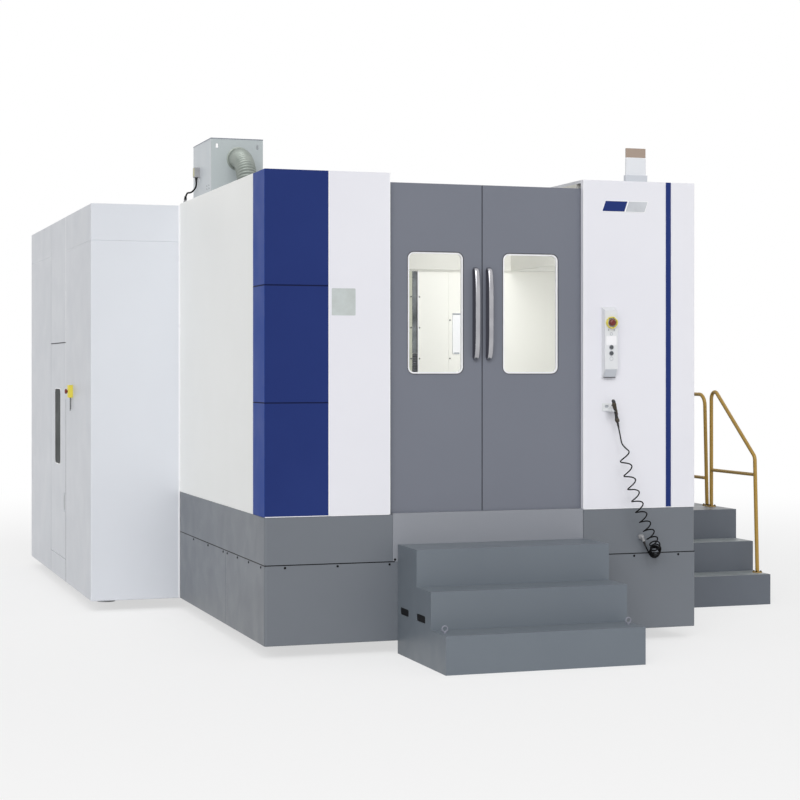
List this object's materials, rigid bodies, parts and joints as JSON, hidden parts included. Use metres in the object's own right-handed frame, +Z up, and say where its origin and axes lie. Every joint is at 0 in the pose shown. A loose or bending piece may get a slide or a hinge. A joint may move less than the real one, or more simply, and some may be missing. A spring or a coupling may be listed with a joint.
{
  "type": "cnc machining center",
  "caption": "Enclosed horizontal machining centre with sliding front doors, pallet changer, tool magazine cabinet, steps, handrails, roof mist collector and air gun on a spiral hose",
  "frame": {"origin": "middle of the footprint at floor level", "axes": "+Z up, -Y out of the front with the two sliding doors, +X to the platform side"},
  "size_m": [5.136, 7.0844, 3.515],
  "materials": {
    "grey_paint": "satin",
    "apron_paint": "satin",
    "blue_paint": "satin",
    "white_paint": "satin",
    "cabinet_paint": "satin",
    "door_paint": "satin",
    "inner_paint": "satin",
    "station_paint": "satin",
    "hook_paint": "satin",
    "step_paint": "satin",
    "rail_paint": "gloss",
    "collector_paint": "satin",
    "lamp_white": "satin",
    "lamp_lens": "gloss",
    "dark_steel": "satin",
    "machined_steel": "machined",
    "polished_steel": "polished",
    "wheel_aluminium": "machined",
    "duct_aluminium": "ribbed foil",
    "cast_grey": "painted casting",
    "fitting_metal": "satin",
    "window_glass": "clear",
    "black_rubber": "matt",
    "hose_rubber": "satin",
    "black_plastic": "matt",
    "dark_plastic": "satin",
    "yellow_plastic": "gloss",
    "red_plastic": "gloss",
    "gun_body": "satin"
  },
  "bodies": {
    "enclosure": {"hall_base": "grey_paint", "levelling_feet": "dark_steel", "lower_skirts": "grey_paint", "upper_bands": "grey_paint", "apron": "apron_paint", "blue_panels": "blue_paint", "front_panels": "white_paint", "side_panels": "white_paint", "roof_panels": "white_paint", "cabinet_panels": "cabinet_paint", "door_rails": "dark_steel", "station_walls": "inner_paint", "electrical_cabinet": "inner_paint", "bed": "cast_grey", "changer_base": "cast_grey", "station_housing": "station_paint", "stop_shroud": "yellow_plastic", "gun_hook": "hook_paint", "air_gun": "gun_body", "air_hose": "hose_rubber", "fittings": "fitting_metal", "front_stair": "step_paint", "lifting_eyes": "machined_steel", "platform": "step_paint", "handrails": "rail_paint", "lamp_body": "lamp_white", "lamp_lens": "lamp_lens", "mist_collector": "collector_paint", "duct_hose": "duct_aluminium", "collector_cable": "hose_rubber", "cabinet_stop_box": "yellow_plastic", "control_pendant": "inner_paint"},
    "left_leaf": {"left_door": "door_paint", "left_window": "window_glass", "left_handle": "polished_steel", "door_seal": "black_rubber"},
    "right_leaf": {"right_door": "door_paint", "right_window": "window_glass", "right_handle": "polished_steel"},
    "side_leaf": {"operator_door": "door_paint"},
    "magazine_leaf": {"magazine_door": "cabinet_paint"},
    "latch": {"magazine_latch": "black_plastic"},
    "electric_leaf": {"electrical_door": "white_paint"},
    "switch": {"main_switch": "red_plastic"},
    "saddle": {"table_saddle": "cast_grey"},
    "table": {"rotary_table": "machined_steel"},
    "column_unit": {"column": "cast_grey"},
    "head": {"headstock": "cast_grey"},
    "spindle_unit": {"spindle": "machined_steel"},
    "wheel": {"magazine_wheel": "wheel_aluminium"},
    "tool_arm": {"tool_change_arm": "machined_steel"},
    "lift": {"lift_ram": "machined_steel"},
    "changer": {"changer_arm": "cast_grey", "partition": "inner_paint", "pallets": "machined_steel"},
    "stop": {"stop_button": "red_plastic"},
    "upper_push": {"upper_button": "dark_plastic"},
    "lower_push": {"lower_button": "dark_plastic"},
    "cabinet_stop": {"cabinet_stop_button": "red_plastic"},
    "trigger": {"gun_trigger": "black_plastic"}
  },
  "joints": [
    {"name": "left_door_slide", "type": "slide", "parent": "enclosure", "child": "left_leaf", "axis": [-1, 0, 0], "range_m": [0, 0.57]},
    {"name": "right_door_slide", "type": "slide", "parent": "enclosure", "child": "right_leaf", "axis": [1, 0, 0], "range_m": [0, 0.63]},
    {"name": "operator_door_slide", "type": "slide", "parent": "enclosure", "child": "side_leaf", "axis": [0, 1, 0], "range_m": [0, 0.96]},
    {"name": "magazine_door_hinge", "type": "hinge", "parent": "enclosure", "child": "magazine_leaf", "pos_m": [-2.508, 2.16525, 1], "axis": [0, 0, -1], "range_deg": [0, 105]},
    {"name": "magazine_latch_pull", "type": "hinge", "parent": "magazine_leaf", "child": "latch", "pos_m": [-2.506, 1.38625, 0.79], "axis": [0, 1, 0], "range_deg": [0, 35], "stiffness_Nm_per_rad": 0.4},
    {"name": "electrical_door_hinge", "type": "hinge", "parent": "enclosure", "child": "electric_leaf", "pos_m": [-0.792, 3.50225, 1.2], "axis": [0, 0, 1], "range_deg": [0, 110]},
    {"name": "main_switch_turn", "type": "hinge", "parent": "electric_leaf", "child": "switch", "pos_m": [0.258, 3.50225, 1.5], "axis": [0, 1, 0], "range_deg": [0, 90]},
    {"name": "table_slide", "type": "slide", "parent": "enclosure", "child": "saddle", "axis": [0, 1, 0], "range_m": [0, 0.9]},
    {"name": "table_turn", "type": "hinge", "parent": "saddle", "child": "table", "pos_m": [-0.332, -0.58175, 1], "axis": [0, 0, 1], "continuous": true},
    {"name": "column_slide", "type": "slide", "parent": "enclosure", "child": "column_unit", "axis": [1, 0, 0], "range_m": [-0.5, 0.5]},
    {"name": "head_slide", "type": "slide", "parent": "column_unit", "child": "head", "axis": [0, 0, 1], "range_m": [-0.2, 0.7]},
    {"name": "spindle_turn", "type": "hinge", "parent": "head", "child": "spindle_unit", "pos_m": [-0.332, 0.86825, 1.55], "axis": [0, 1, 0], "continuous": true},
    {"name": "magazine_turn", "type": "hinge", "parent": "enclosure", "child": "wheel", "pos_m": [-2.162, 1.73825, 1.65], "axis": [1, 0, 0], "continuous": true},
    {"name": "tool_arm_turn", "type": "hinge", "parent": "enclosure", "child": "tool_arm", "pos_m": [-1.332, 0.95325, 1.9], "axis": [0, 1, 0], "range_deg": [0, 180]},
    {"name": "changer_lift", "type": "slide", "parent": "enclosure", "child": "lift", "axis": [0, 0, 1], "range_m": [-0.06, 0]},
    {"name": "changer_turn", "type": "hinge", "parent": "lift", "child": "changer", "pos_m": [-0.332, -1.30175, 1.2], "axis": [0, 0, 1], "range_deg": [0, 180]},
    {"name": "stop_push", "type": "slide", "parent": "enclosure", "child": "stop", "axis": [0, 1, 0], "range_m": [0, 0.005], "stiffness_N_per_m": 500},
    {"name": "upper_button_push", "type": "slide", "parent": "enclosure", "child": "upper_push", "axis": [0, 1, 0], "range_m": [0, 0.004], "stiffness_N_per_m": 300},
    {"name": "lower_button_push", "type": "slide", "parent": "enclosure", "child": "lower_push", "axis": [0, 1, 0], "range_m": [0, 0.004], "stiffness_N_per_m": 300},
    {"name": "cabinet_stop_push", "type": "slide", "parent": "enclosure", "child": "cabinet_stop", "axis": [1, 0, 0], "range_m": [0, 0.006], "stiffness_N_per_m": 500},
    {"name": "gun_trigger_squeeze", "type": "hinge", "parent": "enclosure", "child": "trigger", "pos_m": [0.54388, -2.71025, 1.58346], "axis": [0.9781, 0, 0.2079], "range_deg": [0, 6], "stiffness_Nm_per_rad": 0.5}
  ]
}
